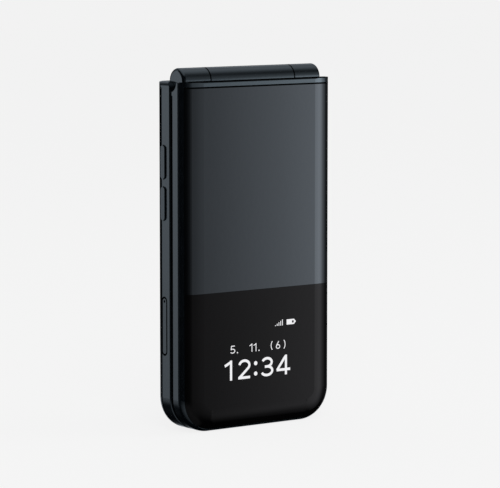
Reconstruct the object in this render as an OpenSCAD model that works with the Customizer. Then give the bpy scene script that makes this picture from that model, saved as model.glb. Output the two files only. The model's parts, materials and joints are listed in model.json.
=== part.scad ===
// A flip phone, standing closed on its foot: the lid faces -Y, the keypad half is behind it,
// and the hinge barrel runs along X at the top. Millimetres, +Z up, foot at z = 0.

/* [Housings] */
// Width of both halves
body_w = 60; // [58:0.5:64]
// Height from the foot to the hinge axis
housing_h = 114.5; // [113:0.5:122]
// Depth of the lid from its inner face to its front
lid_depth = 7.7; // [7.4:0.1:8.8]
// Depth of the keypad half from its inner face to its back
base_depth = 7.9; // [7.7:0.1:9]
// Space between the two closed halves
fold_gap = 0.8; // [0.7:0.05:1.2]
// Radius of the two bottom corners
corner_r = 11; // [9:0.5:12]
// Radius of the round along the front edge of the lid
lid_edge_r = 3.8; // [3.4:0.1:4.2]
// Width of the shallow crown beside that round, from the side of the phone
crown_w = 7.5; // [6:0.5:9]
// Radius of that crown
crown_r = 24; // [20:1:40]
// Radius of the round along the back edge of the keypad half
base_edge_r = 2.9; // [2.4:0.1:3.4]
// Radius of the small round on the edges along the gap
lip_r = 0.4; // [0.2:0.05:0.5]
// Radius that opens the inner top edges beside the barrel
flare_r = 3.3; // [2.6:0.1:3.6]
// Radius of the lid's top corners and outer top edge
lid_top_r = 0.4; // [0.3:0.1:1.2]
// Radius of the keypad half's top corners and outer top edge
base_top_r = 1.8; // [0.8:0.1:2.2]
// Thickness of the rim round each inner panel
rim_w = 1.2; // [1:0.1:1.4]
// Width of the ledge that carries each inner panel
ledge_w = 1.2; // [1:0.1:1.4]
// Solid web below the barrel
head_web = 1.8; // [1.5:0.1:2.2]
// Depth at which the back cover meets the frame
seam_depth = 5.1; // [5:0.05:5.4]
// Wall of the back cover
cover_wall = 0.9; // [0.8:0.05:1]
// Height of the back cover's lip inside the frame
cover_lip_h = 0.85; // [0.6:0.05:1]
// Wall between the inside of the lid and its front cover
lid_wall = 0.8; // [0.6:0.05:1]

/* [Hinge] */
// Radius of the barrel
barrel_r = 4.3; // [4.2:0.05:4.5]
// Distance from each barrel end to the side of the phone
barrel_inset = 2.3; // [2.1:0.1:2.6]
// Radius of the round on the barrel ends
barrel_round = 1.0; // [0.6:0.1:1.2]
// Distance from the side of the phone to the seam between two knuckles
knuckle_inset = 13.1; // [12.6:0.1:13.5]
// Width of the seam between two knuckles
knuckle_gap = 0.3; // [0.2:0.05:0.4]
// Clearance round the barrel where it turns in a housing
barrel_gap = 0.3; // [0.2:0.05:0.4]
// Wall of the barrel
knuckle_wall = 0.9; // [0.8:0.05:1]
// Radius of the hollow pivot
pivot_r = 2.2; // [2:0.1:2.4]
// Wall of the hollow pivot
pivot_wall = 0.45; // [0.4:0.05:0.5]
// Radial running clearance of pivot and shaft
run_gap = 0.04; // [0.02:0.01:0.06]
// Radius of the cam shaft
shaft_r = 1.2; // [1:0.1:1.4]
// Wall of the cam cartridge
can_wall = 0.8; // [0.6:0.1:0.9]
// Length of the cam cartridge
can_len = 12.6; // [12:0.2:14]
// Thickness of each end cap
cap_t = 1.4; // [1.3:0.1:1.6]
// Length of each end cap's plug
plug_len = 1.5; // [1:0.1:1.8]
// Thickness of the rolled flexible circuit
flex_t = 0.2; // [0.15:0.05:0.25]
// Width of the flexible circuit's tails
flex_w = 3.6; // [3.2:0.2:4]

/* [Front cover] */
// Border of the frame round the front cover
lens_inset = 0.9; // [0.7:0.1:1.2]
// Thickness of the front cover
lens_t = 1.9; // [1.8:0.05:2]
// Height of the frame's rim above the front cover
lens_drop = 1.8; // [1.5:0.1:2.2]
// Hairline fit round the front cover and between its two parts
hairline = 0.06; // [0.04:0.01:0.08]
// Height of the line between the dark window and the tinted panel
window_top = 45.8; // [44.5:0.1:50]
// Width of the outer display
sub_w = 38; // [34:1:42]
// Height of the outer display
sub_h = 32; // [28:1:33]
// Thickness of the outer display
sub_t = 1.4; // [1:0.1:1.6]

/* [Inner panels] */
// Thickness of the lid's inner panel and of the keypad deck
panel_t = 1.0; // [0.9:0.05:1.1]
// Fit gap round parts that drop into a recess
fit_gap = 0.1; // [0.05:0.01:0.15]
// Distance from the side of the phone to the main display's glass
glass_side = 4; // [3.5:0.1:5]
// Height of that glass's lower edge
glass_low = 13.5; // [12:0.5:16]
// Thickness of the main display's glass
glass_t = 0.7; // [0.6:0.05:0.8]
// Width of the ledge under that glass
glass_ledge = 1.6; // [1.4:0.1:2]
// Thickness of the main display
display_t = 1.6; // [1.4:0.1:1.8]
// Width of the earpiece slot
ear_w = 9; // [8:0.5:10]
// Height of the earpiece slot
ear_h = 1.2; // [1:0.1:1.4]
// Distance from the glass's upper edge to the middle of that slot
ear_gap = 3.3; // [2.9:0.1:4]
// Radius of the screw heads
screw_head_r = 1.4; // [1.2:0.1:1.5]
// Radius of the screw shanks
screw_r = 0.7; // [0.6:0.05:0.8]
// Radius of the rubber bumpers
bumper_r = 2.0; // [1.9:0.05:2.2]
// Height of a bumper above the inner panel
bumper_proud = 0.45; // [0.3:0.05:0.5]

/* [Keys] */
// Height of a key above the keypad deck
key_proud = 0.25; // [0.15:0.05:0.3]
// Travel of a key
key_travel = 0.3; // [0.2:0.05:0.3]
// Gap round a key
key_gap = 0.2; // [0.15:0.05:0.25]
// Distance from the side of the phone to the outer keys
key_side = 3.8; // [3.4:0.1:4.5]
// Space between key columns
key_gap_x = 2.2; // [1.4:0.1:3]
// Height of the lowest key row's lower edge
key_low = 15.7; // [14:0.1:18]
// Space between key rows
key_gap_z = 2.8; // [1.4:0.1:3.4]
// Space between the number keys and the send, clear and end keys
call_under = 4.0; // [2:0.1:5]
// Height of those three keys
call_h = 8.6; // [7:0.1:10]
// Space between those three keys and the navigation ring
call_over = 3.4; // [2:0.1:5]
// Distance from the hinge axis down to the middle of the navigation ring
nav_drop = 25.5; // [24.5:0.1:28]
// Outer radius of the navigation ring
nav_r = 10.5; // [10:0.1:10.6]
// Outer radius of the trim ring inside it
trim_r = 5.5; // [5.4:0.1:6]
// Radius of the confirm key
ok_r = 4.6; // [4.2:0.1:4.7]
// Width of the two tall keys beside the ring
soft_w = 11; // [10:0.5:11.5]
// Height of those two keys
soft_h = 17; // [15:0.5:18]
// Distance from the side of the phone to those two keys
soft_side = 4.3; // [3.6:0.1:4.6]
// Corner radius of the keys
key_r = 1.6; // [1.2:0.1:2.4]

/* [Side] */
// Length of a volume key
vol_len = 10.9; // [10:0.1:11.5]
// Width of a volume key
vol_w = 2.2; // [2:0.1:2.4]
// Height of a volume key above the side wall
vol_proud = 0.5; // [0.4:0.05:0.6]
// Travel of a volume key
vol_travel = 0.35; // [0.25:0.05:0.35]
// Distance from the hinge axis down to the middle between the volume keys
vol_drop = 33; // [31:0.5:36]
// Distance between the two volume keys
vol_pitch = 13.5; // [13.2:0.1:14]
// Depth of the middle of the volume keys
vol_depth = 3.55; // [3.5:0.05:3.6]
// Length of the card tray's face
tray_len = 19.1; // [18.5:0.1:19.3]
// Width of the card tray's face
tray_w = 2.8; // [2.7:0.05:2.9]
// Groove round the card tray's face
tray_gap = 0.2; // [0.1:0.05:0.2]
// Thickness of the card tray's face
tray_face_t = 1.2; // [1:0.1:1.3]
// Length of the tray's carrier
tray_reach = 14.5; // [14:0.1:15]
// Width of the tray's carrier
tray_card = 14.6; // [14:0.1:15]
// Thickness of the tray's carrier
tray_t = 0.8; // [0.7:0.05:0.85]
// Height of the middle of the card tray
tray_z = 34.6; // [34.2:0.1:35]
// Depth of the middle of the card tray's face
tray_depth = 3.3; // [3.25:0.05:3.35]
// Radius of the tray's pin hole
pin_hole_r = 0.45; // [0.35:0.05:0.5]
// Width of the charging socket
usb_w = 8.94; // [8.9:0.02:9]
// Depth of the charging socket
usb_d = 3.26; // [3.2:0.02:3.3]
// Length of the charging socket
usb_len = 7.3; // [7:0.1:7.5]
// Wall of the charging socket
usb_wall = 0.33; // [0.3:0.01:0.36]

/* [Inside] */
// Thickness of the middle plate of the keypad half
mid_t = 0.6; // [0.5:0.05:0.7]
// Thickness of the keypad's rubber mat
mat_t = 0.5; // [0.4:0.05:0.5]
// Thickness of the circuit boards
board_t = 0.6; // [0.5:0.05:0.7]
// Distance from the side of the phone to the battery
battery_side = 3.5; // [3.2:0.1:5]
// Space between the card reader and the battery
battery_gap = 0.55; // [0.3:0.05:1.5]
// Height of the battery
battery_h = 41; // [39:0.5:41.5]
// Thickness of the battery
battery_t = 3.2; // [3:0.1:3.3]
// Distance from the side of the phone to the middle of the camera
camera_side = 15; // [13:0.5:17]
// Distance from the hinge axis down to the middle of the camera
camera_drop = 19.5; // [18.5:0.5:22]
// Width of the camera module
camera_w = 8.4; // [8:0.1:9]
// Radius of the camera's window
window_r = 4.6; // [4.4:0.1:5]
// Distance from the camera to the flash
flash_gap = 8.5; // [8:0.5:10]
// Thickness of the camera window
window_t = 0.6; // [0.5:0.05:0.7]
// Width of the loudspeaker
speaker_w = 14; // [13:0.5:15]
// Height of the loudspeaker
speaker_h = 10; // [9:0.5:10.5]
// Radius of the vibration motor
motor_r = 4; // [3.5:0.1:4.2]
// Thickness of the vibration motor
motor_t = 2.7; // [2.4:0.1:3]

/* [Hidden] */
$fn = 64;
FINE = 0.01;    // keeps two faces from lying in one plane inside a cut
OVER = 1;       // how far a cut runs past a face

half_w = body_w / 2;
axis_z = housing_h;
barrel_half = half_w - barrel_inset;
knuckle_half = half_w - knuckle_inset;
notch_r = barrel_r + barrel_gap;
bore_r = barrel_r - knuckle_wall;
seam_in = knuckle_half - knuckle_gap / 2;
seam_out = knuckle_half + knuckle_gap / 2;
pocket_top = housing_h - notch_r - head_web;
wall_in = rim_w + ledge_w;
deep_top = pocket_top - ledge_w;

lens_back = lid_depth - lens_t;
lens_top = housing_h - lens_drop;
lid_inside = lens_back - lid_wall;

// Corner radii of displays and boards, and of small square parts
panel_r = 1.6;
square_r = 0.25;

// Depths inside the keypad half, counted from its inner face
flange_t = 0.25;
flange_w = 0.4;
slack = 0.05;
key_foot = panel_t + slack + flange_t;
mat_depth = key_foot + key_travel + slack;
pad_depth = mat_depth + mat_t;
mid_depth = pad_depth + board_t + 3 * slack;
rear_depth = mid_depth + mid_t;
inner_back = base_depth - cover_wall;

// Bosses for the screws, tied to the inside of the walls. Screw places are [x, height] on the
// right side; each has its mirror on the left
boss_r = bumper_r + 0.5;
screw_rise = 2.1;
screw_low = wall_in + boss_r + screw_rise;
lid_screw_side = 5.6;
lid_screw_drop = 3.0;
LID_SCREWS = [
    [half_w - corner_r, screw_low],
    [half_w - lid_screw_side, deep_top - lid_screw_drop]
];
base_screw_in = 2;
base_screw_side = 16;
base_screw_drop = 2.9;
BASE_SCREWS = [
    [half_w - corner_r - base_screw_in, screw_low],
    [half_w - base_screw_side, deep_top - base_screw_drop]
];
boss_clear = 0.5;
board_top = BASE_SCREWS[1][1] - boss_r - boss_clear;

// The earpiece lies below the barrel, the glass below the earpiece
earpiece_t = 2.6;
earpiece_w = 11;
earpiece_h = 5;
earpiece_gap = 0.6;
ear_z = deep_top - earpiece_gap - earpiece_h / 2;
glass_w = body_w - 2 * glass_side;
glass_h = ear_z - ear_gap - glass_low;
display_z = glass_low + glass_h / 2;
sub_z = screw_low + boss_r + sub_h / 2;

// The number keys, by row from the bottom
KEY_NODES = [
    "key_star", "key_0", "key_hash", "key_7", "key_8", "key_9",
    "key_4", "key_5", "key_6", "key_1", "key_2", "key_3"
];
KEY_COLUMNS = 3;
KEY_ROWS = len(KEY_NODES) / KEY_COLUMNS;
key_w = (body_w - 2 * key_side - (KEY_COLUMNS - 1) * key_gap_x) / KEY_COLUMNS;
nav_z = housing_h - nav_drop;
call_row_z = nav_z - nav_r - call_over - call_h / 2;
key_high = call_row_z - call_h / 2 - call_under;
key_h = (key_high - key_low - (KEY_ROWS - 1) * key_gap_z) / KEY_ROWS;
soft_x = half_w - soft_side - soft_w / 2;
vol_z = housing_h - vol_drop;
CALL_NODES = ["key_send", "key_clear", "key_end"];
SOFT_NODES = ["key_soft_left", "key_soft_right"];
VOLUME_NODES = ["volume_down", "volume_up"];

key_columns_x = [for (c = [-1 : 1]) c * (key_w + key_gap_x)];
volume_zs = [vol_z - vol_pitch / 2, vol_z + vol_pitch / 2];

// ---------------------------------------------------------------- building blocks

// Children are drawn flat: x across, y up, z outward from the inner face of a half
module lid_side() { translate([0, -fold_gap / 2, 0]) rotate([90, 0, 0]) children(); }
module base_side() { mirror([0, 1, 0]) lid_side() children(); }

// Children are drawn along z and laid along the hinge axis from x
module along_axis(x) { translate([x, 0, axis_z]) rotate([0, 90, 0]) children(); }

module both_sides() { for (s = [0, 1]) mirror([s, 0, 0]) children(); }

// What rounding a corner takes away: the corner is at the origin, material in -x and -y
module corner_cut(r) {
    difference() {
        translate([-r, -r]) square(r + OVER);
        translate([-r, -r]) circle(r);
    }
}

module edge_cut(r, len) { linear_extrude(len) corner_cut(r); }

// Sections across a housing's edge: x outward to width, y from the gap to depth
module base_section(width) {
    difference() {
        square([width, base_depth]);
        translate([width, base_depth]) corner_cut(base_edge_r);
        translate([width, 0]) mirror([0, 1]) corner_cut(lip_r);
    }
}

// On the lid a shallow crown leads smoothly into the outer round
module lid_section(width) {
    from = width - crown_w;
    reach = crown_r - lid_edge_r;
    turn = asin((crown_w - lid_edge_r) / reach);
    middle = [width - lid_edge_r, lid_depth - crown_r + reach * cos(turn)];
    far = lid_edge_r + OVER;
    difference() {
        square([width, lid_depth]);
        difference() {
            translate([from, lid_depth - lid_edge_r]) square([crown_w + OVER, lid_edge_r + OVER]);
            translate([from, lid_depth - crown_r]) circle(crown_r);
        }
        translate(middle) difference() {
            polygon([[0, 0], 2 * far * [sin(turn), cos(turn)], [2 * far, 2 * far], [2 * far, 0]]);
            circle(lid_edge_r);
        }
        translate([width, 0]) mirror([0, 1]) corner_cut(lip_r);
    }
}

module edge_section(lid) { if (lid) lid_section(corner_r); else base_section(corner_r); }

// A whole half: round bottom corners, square top, rounds along the outer and the gap edges
module housing_block(lid) {
    side = half_w - corner_r;
    depth = lid ? lid_depth : base_depth;
    both_sides() {
        translate([side, corner_r, 0])
            rotate([0, 0, -90]) rotate_extrude(angle = 90) edge_section(lid);
        translate([side, housing_h, 0]) rotate([90, 0, 0])
            linear_extrude(housing_h - corner_r) edge_section(lid);
    }
    translate([side, corner_r, 0]) rotate([90, 0, -90])
        linear_extrude(2 * side) edge_section(lid);
    translate([-side - OVER, corner_r - OVER, 0])
        cube([2 * (side + OVER), housing_h - corner_r + OVER, depth]);
}

// The same with its top edges rounded
module rounded_block(lid) {
    depth = lid ? lid_depth : base_depth;
    top_r = lid ? lid_top_r : base_top_r;
    difference() {
        housing_block(lid);
        both_sides() translate([half_w, housing_h, -OVER]) edge_cut(top_r, depth + 2 * OVER);
        translate([-half_w - OVER, housing_h, depth])
            rotate([90, 0, 90]) edge_cut(top_r, body_w + 2 * OVER);
        translate([-half_w - OVER, housing_h, 0])
            mirror([0, 0, 1]) rotate([90, 0, 90]) edge_cut(flare_r, body_w + 2 * OVER);
    }
}

// The housing's outline drawn in by inset, up to top
module outline(inset, top) {
    half = half_w - inset;
    difference() {
        translate([-half, inset]) square([2 * half, top - inset]);
        both_sides() translate([half, inset]) mirror([0, 1]) corner_cut(corner_r - inset);
    }
}

// A plate of that outline between two depths
module plate(inset, top, from, to) {
    translate([0, 0, from]) linear_extrude(to - from) outline(inset, top);
}

module round_rect(w, h, r) {
    difference() {
        square([w, h], center = true);
        for (x = [0, 1], y = [0, 1]) mirror([x, 0]) mirror([0, y]) translate([w / 2, h / 2]) corner_cut(r);
    }
}

module block(w, h, r, x, z, from, to) {
    translate([x, z, from]) linear_extrude(to - from) round_rect(w, h, r);
}

module ring(outer, inner, len) {
    difference() {
        cylinder(r = outer, h = len);
        translate([0, 0, -OVER]) cylinder(r = inner, h = len + 2 * OVER);
    }
}

// A post between two depths at every screw place
module at_screws(places) {
    for (p = places) both_sides() translate([p[0], p[1], 0]) children();
}

// ---------------------------------------------------------------- lid

bumper_seat = 0.6;
head_h = 0.8;
screw_len = 3.0;
head_depth = bumper_seat + head_h;
boss_depth = head_depth + 0.6;

module lid_frame() {
    color([0.17, 0.19, 0.21]) difference() {
        union() {
            lid_side() difference() {
                rounded_block(true);
                plate(lens_inset, lens_top, lens_back, lid_depth + OVER);
                plate(rim_w, pocket_top, -OVER, panel_t);
                difference() {
                    plate(wall_in, deep_top, panel_t - FINE, lid_inside);
                    at_screws(LID_SCREWS) cylinder(r = boss_r, h = lid_depth);
                }
                at_screws(LID_SCREWS) translate([0, 0, panel_t - FINE])
                    cylinder(r = boss_r + FINE, h = boss_depth - panel_t + fit_gap);
                at_screws(LID_SCREWS) cylinder(r = screw_r, h = head_depth + screw_len);
                block(sub_w + 2 * fit_gap, sub_h + 2 * fit_gap, panel_r, 0, sub_z, 0, lid_depth);
            }
            along_axis(-seam_in) cylinder(r = barrel_r, h = 2 * seam_in);
        }
        both_sides() along_axis(seam_in) cylinder(r = notch_r, h = barrel_half + knuckle_gap - seam_in);
        along_axis(-body_w) cylinder(r = bore_r, h = 2 * body_w);
        flex_slot(flex_lid_x, -1);
    }
}

// A slot from the barrel's bore down into a half, for the flexible circuit
flex_depth = panel_t + fit_gap;
flex_slot_w = 1.2;
module flex_slot(x, side) {
    wide = flex_w + 4 * fit_gap;
    low = deep_top - OVER;
    y = side * (fold_gap / 2 + flex_depth + flex_slot_w / 2 - fit_gap);
    translate([x - wide / 2, y - flex_slot_w / 2, low]) cube([wide, flex_slot_w, axis_z - bore_r / 2 - low]);
}

// The front cover before it is parted: the lid's own surface inside the frame's border
module front_cover(low, high) {
    lid_side() intersection() {
        rounded_block(true);
        plate(lens_inset + hairline, lens_top - hairline, lens_back, lid_depth + OVER);
        translate([-half_w, low, 0]) cube([body_w, high - low, lid_depth + OVER]);
    }
}

module cover_panel() {
    color([0.24, 0.26, 0.285]) front_cover(window_top + hairline / 2, housing_h);
}

module display_window() {
    color([0.07, 0.068, 0.075]) front_cover(0, window_top - hairline / 2);
}

module sub_display() {
    color([0.02, 0.02, 0.025]) lid_side()
        block(sub_w, sub_h, panel_r, 0, sub_z, lens_back - sub_t, lens_back);
}

module lid_inner_cover() {
    window_w = glass_w - 2 * glass_ledge;
    window_h = glass_h - 2 * glass_ledge;
    color([0.1, 0.105, 0.115]) lid_side() difference() {
        union() {
            plate(rim_w + fit_gap, pocket_top - fit_gap, 0, panel_t);
            at_screws(LID_SCREWS) cylinder(r = boss_r - fit_gap, h = boss_depth);
        }
        block(glass_w + 2 * fit_gap, glass_h + 2 * fit_gap, panel_r, 0, display_z, -OVER, glass_t);
        block(window_w, window_h, panel_r, 0, display_z, -OVER, panel_t + OVER);
        block(ear_w, ear_h, ear_h / 2 - FINE, 0, ear_z, -OVER, panel_t + OVER);
        at_screws(LID_SCREWS) {
            translate([0, 0, -OVER]) cylinder(r = bumper_r + fit_gap, h = bumper_seat + OVER);
            cylinder(r = screw_head_r + fit_gap, h = head_depth);
            cylinder(r = screw_r + fit_gap, h = boss_depth + OVER);
        }
    }
}

module main_display_glass() {
    color([0.03, 0.03, 0.035]) lid_side() block(glass_w, glass_h, panel_r, 0, display_z, 0, glass_t);
}

module main_display() {
    color([0.05, 0.05, 0.06]) lid_side()
        block(glass_w - glass_ledge, glass_h - glass_ledge, panel_r, 0, display_z,
              panel_t + slack, panel_t + slack + display_t);
}

lid_board_w = 46;
lid_board_h = 38;
lid_board_drop = 3.5;
lid_board_z = glass_low + glass_h - lid_board_drop - lid_board_h / 2;
chip_h = 1.1;
LID_CHIPS = [[12, 12, -12], [9, 14, 10]];     // width, height and x of each chip
module lid_board() {
    from = panel_t + display_t + 4 * slack + flex_t;
    color([0.1, 0.3, 0.2]) lid_side() {
        block(lid_board_w, lid_board_h, panel_r, 0, lid_board_z, from, from + board_t);
        for (c = LID_CHIPS)
            block(c[0], c[1], square_r, c[2], lid_board_z, from + board_t - FINE, from + board_t + chip_h);
    }
}

module earpiece() {
    from = panel_t + slack;
    color([0.55, 0.5, 0.4]) lid_side()
        block(earpiece_w, earpiece_h, panel_r, 0, ear_z, from, from + earpiece_t);
}

magnet_w = 8;
magnet_h = 4;
magnet_t = 1.8;
module lid_magnet() {
    from = panel_t + slack;
    color([0.6, 0.6, 0.62]) lid_side()
        block(magnet_w, magnet_h, square_r, 0, LID_SCREWS[0][1], from, from + magnet_t);
}

module lid_bumpers() {
    color([0.06, 0.06, 0.07]) lid_side() at_screws(LID_SCREWS)
        translate([0, 0, -bumper_proud]) cylinder(r = bumper_r, h = bumper_proud + bumper_seat - slack);
}

module lid_screws() {
    color([0.5, 0.5, 0.52]) lid_side() at_screws(LID_SCREWS) {
        translate([0, 0, bumper_seat]) cylinder(r = screw_head_r, h = head_h);
        translate([0, 0, head_depth - FINE]) cylinder(r = screw_r, h = screw_len);
    }
}

// ---------------------------------------------------------------- hinge

can_from = -seam_in;
driver_len = 1.8;
shaft_gap = 0.3;
cam_from = can_from + driver_len + shaft_gap;
cam_len = 2;
shaft_len = can_len - 2 * can_wall;
module hinge_cartridge() {
    color([0.6, 0.6, 0.62]) along_axis(can_from) difference() {
        cylinder(r = bore_r, h = can_len);
        translate([0, 0, -OVER]) cylinder(r = bore_r - can_wall, h = can_len + OVER - can_wall);
    }
}

module hinge_cam() {
    color([0.65, 0.6, 0.5]) along_axis(cam_from) ring(bore_r - can_wall, shaft_r + run_gap, cam_len);
}

module hinge_spring() {
    from = cam_from + cam_len;
    color([0.7, 0.7, 0.72]) along_axis(from)
        ring(bore_r - can_wall - slack, shaft_r + 6 * slack, can_from + can_len - can_wall - from);
}

cap_clear = 0.5;
head_len = barrel_half - cap_t - plug_len - 1.5 * cap_clear - seam_out;
module hinge_shaft() {
    color([0.55, 0.55, 0.58]) along_axis(-seam_out) {
        translate([0, 0, -head_len]) cylinder(r = bore_r, h = head_len);
        translate([0, 0, -FINE]) cylinder(r = shaft_r, h = shaft_len);
        cylinder(r = bore_r - can_wall - run_gap, h = knuckle_gap + driver_len);
    }
}

// The pivot reaches inward to where the two parts of the flexible circuit meet, and the lid's
// part comes down beside the earpiece
pivot_head = 2.4;
flex_ear_gap = 0.7;
flex_bush_gap = 0.45;
flex_split_gap = 0.6;
flex_lid_x = earpiece_w / 2 + flex_ear_gap + flex_w / 2;
flex_split = flex_lid_x + flex_w / 2 + flex_split_gap;
bush_len = seam_in - flex_lid_x - flex_w / 2 - flex_bush_gap;
pivot_len = seam_out + pivot_head - slack - flex_split;
module hinge_bush() {
    color([0.75, 0.73, 0.65])
        along_axis(seam_in - bush_len) ring(bore_r, pivot_r + run_gap, bush_len);
}

module hinge_pivot() {
    color([0.6, 0.6, 0.63]) along_axis(seam_out) difference() {
        union() {
            cylinder(r = bore_r, h = pivot_head);
            translate([0, 0, pivot_head - pivot_len]) cylinder(r = pivot_r, h = pivot_len);
        }
        translate([0, 0, -pivot_len]) cylinder(r = pivot_r - pivot_wall, h = 2 * pivot_len);
    }
}

// The end caps close the barrel; their rounded faces are what shows beside the housings
module hinge_caps() {
    color([0.27, 0.28, 0.31]) both_sides() along_axis(barrel_half - cap_t) {
        rotate_extrude() {
            square([barrel_r, cap_t - barrel_round]);
            square([barrel_r - barrel_round, cap_t]);
            translate([barrel_r - barrel_round, cap_t - barrel_round]) intersection() {
                circle(barrel_round);
                square(barrel_round);
            }
        }
        translate([0, 0, -plug_len]) ring(bore_r - slack, bore_r - can_wall, plug_len + FINE);
    }
}

flex_r = fold_gap / 2 + flex_depth + 3 / 4 * flex_t;
flex_base_x = barrel_half - cap_t - plug_len - cap_clear - flex_w / 2;
flex_drop = 1.4;

// A tail from the roll down through its slot, then back to the board it feeds
module flex_tail(x, board_depth, low) {
    translate([x - flex_w / 2, deep_top - flex_drop, flex_depth])
        cube([flex_w, axis_z - flex_t - deep_top + flex_drop, flex_t]);
    translate([x - flex_w / 2, deep_top - flex_drop, flex_depth])
        cube([flex_w, flex_t, board_depth - flex_depth]);
    translate([x - flex_w / 2, low, board_depth - flex_t])
        cube([flex_w, deep_top - flex_drop + flex_t - low, flex_t]);
}

module hinge_flex_lid() {
    color([0.75, 0.45, 0.15]) {
        along_axis(flex_lid_x - flex_w / 2)
            ring(flex_r, flex_r - flex_t, flex_split - flex_lid_x + flex_w / 2);
        lid_side() flex_tail(flex_lid_x, panel_t + display_t + 3 * slack + flex_t,
                             lid_board_z + lid_board_h / 2 - flex_w);
    }
}

module hinge_flex_base() {
    color([0.75, 0.45, 0.15]) {
        along_axis(flex_split + 3 * fit_gap)
            ring(flex_r, flex_r - flex_t, flex_base_x + flex_w / 2 - flex_split - 3 * fit_gap);
        base_side() flex_tail(flex_base_x, rear_depth + board_t + fit_gap + 2 * flex_t, board_top - flex_w);
    }
}

// ---------------------------------------------------------------- keypad half

vol_slot_w = vol_w + 2 * key_gap;
tray_slot = 0.1;
reader_wall = 0.3;
reader_gap = 0.12;
tray_back = rear_depth + slack + reader_wall + reader_gap;
module base_frame() {
    color([0.17, 0.19, 0.21]) difference() {
        union() {
            base_side() difference() {
                rounded_block(false);
                translate([-body_w, -OVER, seam_depth]) cube([2 * body_w, 2 * housing_h, base_depth]);
                plate(rim_w, pocket_top, -OVER, panel_t);
                plate(wall_in, deep_top, panel_t - FINE, mid_depth);
                plate(wall_in, deep_top, rear_depth, seam_depth + OVER);
                plate(rim_w + fit_gap, pocket_top, seam_depth - cover_lip_h - slack, seam_depth + OVER);
                at_screws(BASE_SCREWS) cylinder(r = screw_r + fit_gap, h = base_depth);
                // room for the side switches, the charging socket and the flexible circuit
                translate([-half_w + wall_in, vol_z - vol_pitch - OVER, mid_depth - OVER])
                    cube([side_room, 2 * (vol_pitch + OVER), mid_t + 2 * OVER]);
                translate([-usb_w / 2 - fit_gap, wall_in, mid_depth - OVER])
                    cube([usb_w + 2 * fit_gap, usb_len + fit_gap - wall_in, mid_t + 2 * OVER]);
                block(flex_w + 6 * fit_gap, flex_room, square_r,
                      flex_base_x, deep_top - flex_room / 2 - slack,
                      mid_depth - OVER, rear_depth + OVER);
                socket_shape(usb_w + 2 * fit_gap, usb_d + 2 * fit_gap, -OVER, usb_len);
                volume_slots();
                tray_slots();
            }
            both_sides() along_axis(seam_out) cylinder(r = barrel_r, h = barrel_half - cap_t - seam_out);
        }
        along_axis(-seam_out) cylinder(r = notch_r, h = 2 * seam_out);
        along_axis(-barrel_half + cap_t) cylinder(r = bore_r, h = 2 * (barrel_half - cap_t));
        both_sides() along_axis(barrel_half - cap_t)
            cylinder(r = barrel_r + fit_gap, h = cap_t + fit_gap);
        flex_slot(flex_base_x, 1);
    }
}

side_room = 3.4;    // across, for the side keys' switches
flex_room = 2.6;    // in height, for the flexible circuit's way to the board

// Stadium across x, standing on end in the foot, from low to high
module socket_shape(w, d, low, high) {
    translate([0, high, usb_depth]) rotate([90, 0, 0]) linear_extrude(high - low)
        round_rect(w, d, d / 2 - FINE);
}
usb_depth = seam_depth - usb_d / 2 - fit_gap - 0.2;

module volume_slots() {
    for (z = volume_zs) side_prism(vol_len + 2 * key_gap, vol_slot_w, z, vol_depth, -OVER, wall_in + OVER);
}

// A stadium through the left wall, long in z, from one distance inside the wall's face to another
module side_prism(len, w, z, depth, from, to) {
    translate([-half_w + from, z, depth]) rotate([0, 90, 0]) rotate([0, 0, 90])
        linear_extrude(to - from) round_rect(len, w, w / 2 - FINE);
}

module tray_slots() {
    side_prism(tray_len + 2 * tray_gap, tray_w + 2 * tray_gap, tray_z, tray_depth,
               -OVER, tray_face_t + slack);
    translate([-half_w, tray_z - tray_card / 2 - tray_slot, tray_back - tray_slot])
        cube([wall_in + OVER, tray_card + 2 * tray_slot, tray_t + 2 * tray_slot]);
    translate([-half_w, tray_z + pin_hole_z, tray_depth]) rotate([0, 90, 0])
        cylinder(r = pin_hole_r, h = wall_in + OVER);
}
pin_hole_z = tray_len / 2 - tray_w / 2;

module card_tray() {
    color([0.2, 0.22, 0.24]) base_side() {
        difference() {
            side_prism(tray_len, tray_w, tray_z, tray_depth, 0, tray_face_t);
            translate([-half_w - OVER, tray_z + pin_hole_z, tray_depth]) rotate([0, 90, 0])
                cylinder(r = pin_hole_r, h = wall_in + OVER);
        }
        translate([-half_w + tray_face_t - slack, tray_z - tray_card / 2, tray_back]) difference() {
            cube([tray_reach, tray_card, tray_t]);
            translate([tray_reach - card_x - card_rim, card_rim, -OVER])
                cube([card_x, tray_card - 2 * card_rim, OVER + tray_t / 2]);
        }
    }
}
card_x = 9;
card_rim = 1;

module card_reader() {
    border = reader_gap + reader_wall;
    color([0.7, 0.7, 0.72]) base_side()
        translate([-half_w + wall_in + slack, tray_z - tray_card / 2 - border, tray_back - border])
        difference() {
            cube([tray_reach, tray_card + 2 * border, tray_t + 2 * border]);
            translate([-OVER, reader_wall, reader_wall])
                cube([tray_reach + OVER - reader_wall, tray_card + 2 * reader_gap, tray_t + 2 * reader_gap]);
        }
}

vol_flange = 0.6;
vol_rest = wall_in + slack;
module volume_key(i) {
    color([0.16, 0.18, 0.2]) base_side() {
        side_prism(vol_len, vol_w, volume_zs[i], vol_depth, -vol_proud, vol_rest + FINE);
        side_prism(vol_len + 2 * vol_flange, vol_w, volume_zs[i], vol_depth, vol_rest, vol_rest + vol_flange);
    }
}

switch_len = 4;
switch_t = 1.0;
strip_t = 0.3;
module side_switches() {
    from = vol_rest + vol_flange + vol_travel + slack;
    color([0.65, 0.65, 0.6]) base_side() {
        for (z = volume_zs) side_prism(switch_len, vol_w, z, vol_depth, from, from + switch_t + FINE);
        translate([-half_w + from + switch_t, vol_z - vol_pitch, vol_depth - vol_w / 2])
            cube([strip_t, 2 * vol_pitch, vol_w]);
    }
}

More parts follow.
